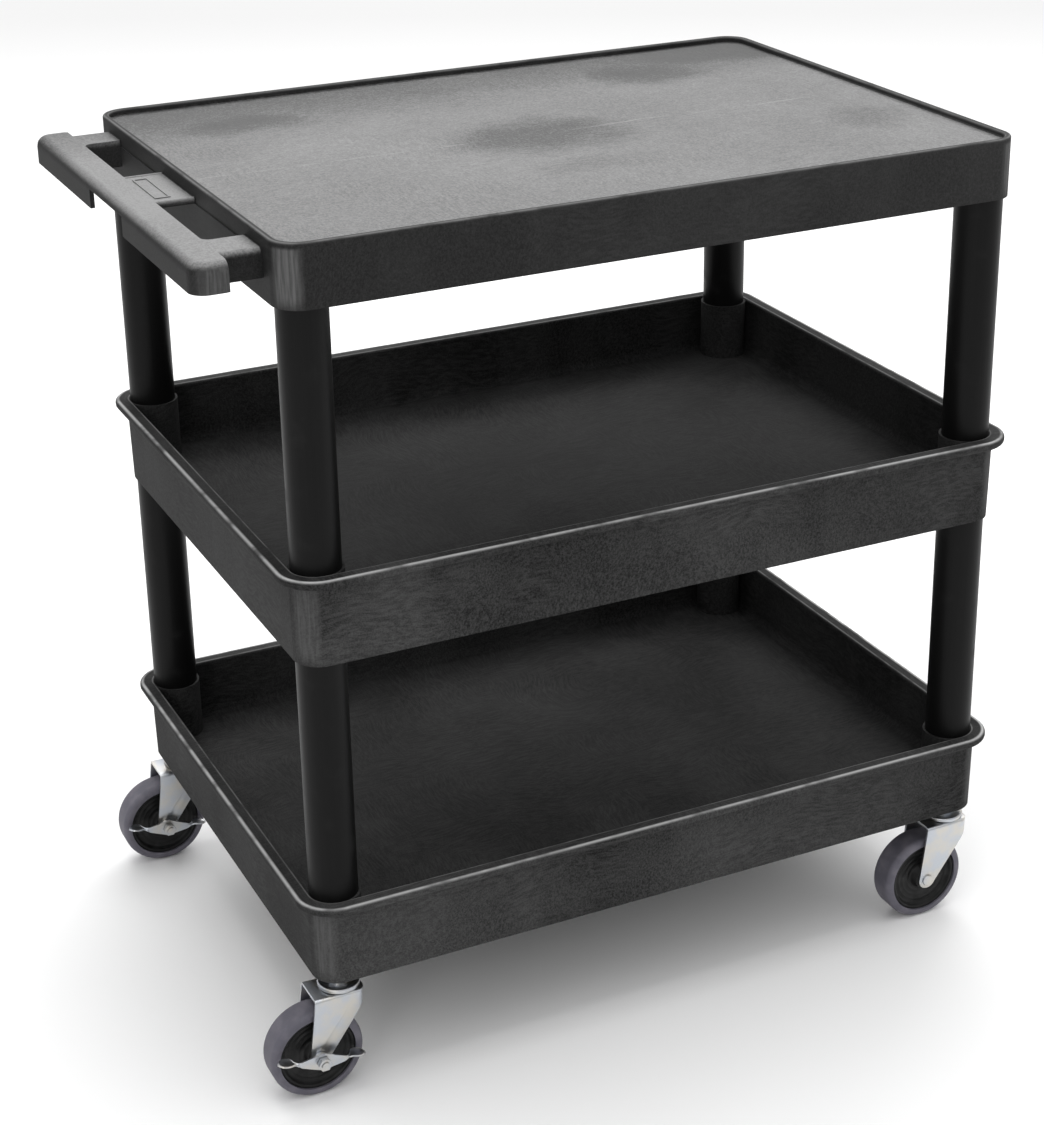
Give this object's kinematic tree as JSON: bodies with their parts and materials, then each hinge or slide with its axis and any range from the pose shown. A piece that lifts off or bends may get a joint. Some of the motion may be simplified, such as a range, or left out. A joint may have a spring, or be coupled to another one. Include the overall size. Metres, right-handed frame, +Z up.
{
  "type": "rolling utility cart",
  "caption": "Utility cart with a flat top shelf and push handle over tub shelves on round legs, rolling on swivel casters with foot brakes at the handle end.",
  "frame": {"origin": "middle of the cart's whole outline, on the floor under the wheels", "axes": "+Z up; the cart's long side runs along X with the push handle at -X, so a person pushing it walks towards +X; +Y is the pusher's left"},
  "size_m": [0.9024, 0.61, 0.9284],
  "materials": {
    "foam_moulding": "matt black structural-foam moulding with swirl marks, lightly worn",
    "leg_plastic": "smooth satin black tube",
    "zinc_steel": "bright zinc-plated pressed steel",
    "bright_steel": "plain polished steel",
    "hub_plastic": "black moulded plastic",
    "grey_rubber": "grey non-marking rubber"
  },
  "bodies": {
    "cart": {"top_shelf": "foam_moulding", "middle_tub": "foam_moulding", "bottom_tub": "foam_moulding", "upper_leg_rear_right": "leg_plastic", "lower_leg_rear_right": "leg_plastic", "caster_plug_rear_right": "leg_plastic", "caster_stem_rear_right": "zinc_steel", "jam_nut_rear_right": "zinc_steel", "race_cap_rear_right": "zinc_steel", "ball_ring_rear_right": "bright_steel", "upper_leg_rear_left": "leg_plastic", "lower_leg_rear_left": "leg_plastic", "caster_plug_rear_left": "leg_plastic", "caster_stem_rear_left": "zinc_steel", "jam_nut_rear_left": "zinc_steel", "race_cap_rear_left": "zinc_steel", "ball_ring_rear_left": "bright_steel", "upper_leg_front_right": "leg_plastic", "lower_leg_front_right": "leg_plastic", "caster_plug_front_right": "leg_plastic", "caster_stem_front_right": "zinc_steel", "jam_nut_front_right": "zinc_steel", "race_cap_front_right": "zinc_steel", "ball_ring_front_right": "bright_steel", "upper_leg_front_left": "leg_plastic", "lower_leg_front_left": "leg_plastic", "caster_plug_front_left": "leg_plastic", "caster_stem_front_left": "zinc_steel", "jam_nut_front_left": "zinc_steel", "race_cap_front_left": "zinc_steel", "ball_ring_front_left": "bright_steel"},
    "swivel_rear_right": {"caster_fork_rear_right": "zinc_steel", "axle_bolt_rear_right": "zinc_steel", "axle_nut_rear_right": "zinc_steel", "axle_sleeve_rear_right": "bright_steel"},
    "wheel_rear_right": {"wheel_hub_rear_right": "hub_plastic", "tyre_rear_right": "grey_rubber"},
    "brake_rear_right": {"brake_pedal_rear_right": "zinc_steel"},
    "swivel_rear_left": {"caster_fork_rear_left": "zinc_steel", "axle_bolt_rear_left": "zinc_steel", "axle_nut_rear_left": "zinc_steel", "axle_sleeve_rear_left": "bright_steel"},
    "wheel_rear_left": {"wheel_hub_rear_left": "hub_plastic", "tyre_rear_left": "grey_rubber"},
    "brake_rear_left": {"brake_pedal_rear_left": "zinc_steel"},
    "swivel_front_right": {"caster_fork_front_right": "zinc_steel", "axle_bolt_front_right": "zinc_steel", "axle_nut_front_right": "zinc_steel", "axle_sleeve_front_right": "bright_steel"},
    "wheel_front_right": {"wheel_hub_front_right": "hub_plastic", "tyre_front_right": "grey_rubber"},
    "swivel_front_left": {"caster_fork_front_left": "zinc_steel", "axle_bolt_front_left": "zinc_steel", "axle_nut_front_left": "zinc_steel", "axle_sleeve_front_left": "bright_steel"},
    "wheel_front_left": {"wheel_hub_front_left": "hub_plastic", "tyre_front_left": "grey_rubber"}
  },
  "joints": [
    {"name": "caster_swivel_rear_right", "type": "hinge", "parent": "cart", "child": "swivel_rear_right", "pos_m": [-0.34515, -0.2624, 0.1208], "axis": [0, 0, 1], "continuous": true},
    {"name": "wheel_roll_rear_right", "type": "hinge", "parent": "swivel_rear_right", "child": "wheel_rear_right", "pos_m": [-0.37715, -0.2624, 0.051], "axis": [0, 1, 0], "continuous": true},
    {"name": "brake_rock_rear_right", "type": "hinge", "parent": "swivel_rear_right", "child": "brake_rear_right", "pos_m": [-0.37715, -0.2624, 0.051], "axis": [0, -1, 0], "range_deg": [0, 16]},
    {"name": "caster_swivel_rear_left", "type": "hinge", "parent": "cart", "child": "swivel_rear_left", "pos_m": [-0.34515, 0.2624, 0.1208], "axis": [0, 0, 1], "continuous": true},
    {"name": "wheel_roll_rear_left", "type": "hinge", "parent": "swivel_rear_left", "child": "wheel_rear_left", "pos_m": [-0.37715, 0.2624, 0.051], "axis": [0, 1, 0], "continuous": true},
    {"name": "brake_rock_rear_left", "type": "hinge", "parent": "swivel_rear_left", "child": "brake_rear_left", "pos_m": [-0.37715, 0.2624, 0.051], "axis": [0, -1, 0], "range_deg": [0, 16]},
    {"name": "caster_swivel_front_right", "type": "hinge", "parent": "cart", "child": "swivel_front_right", "pos_m": [0.40865, -0.2624, 0.1208], "axis": [0, 0, 1], "continuous": true},
    {"name": "wheel_roll_front_right", "type": "hinge", "parent": "swivel_front_right", "child": "wheel_front_right", "pos_m": [0.37665, -0.2624, 0.051], "axis": [0, 1, 0], "continuous": true},
    {"name": "caster_swivel_front_left", "type": "hinge", "parent": "cart", "child": "swivel_front_left", "pos_m": [0.40865, 0.2624, 0.1208], "axis": [0, 0, 1], "continuous": true},
    {"name": "wheel_roll_front_left", "type": "hinge", "parent": "swivel_front_left", "child": "wheel_front_left", "pos_m": [0.37665, 0.2624, 0.051], "axis": [0, 1, 0], "continuous": true}
  ]
}
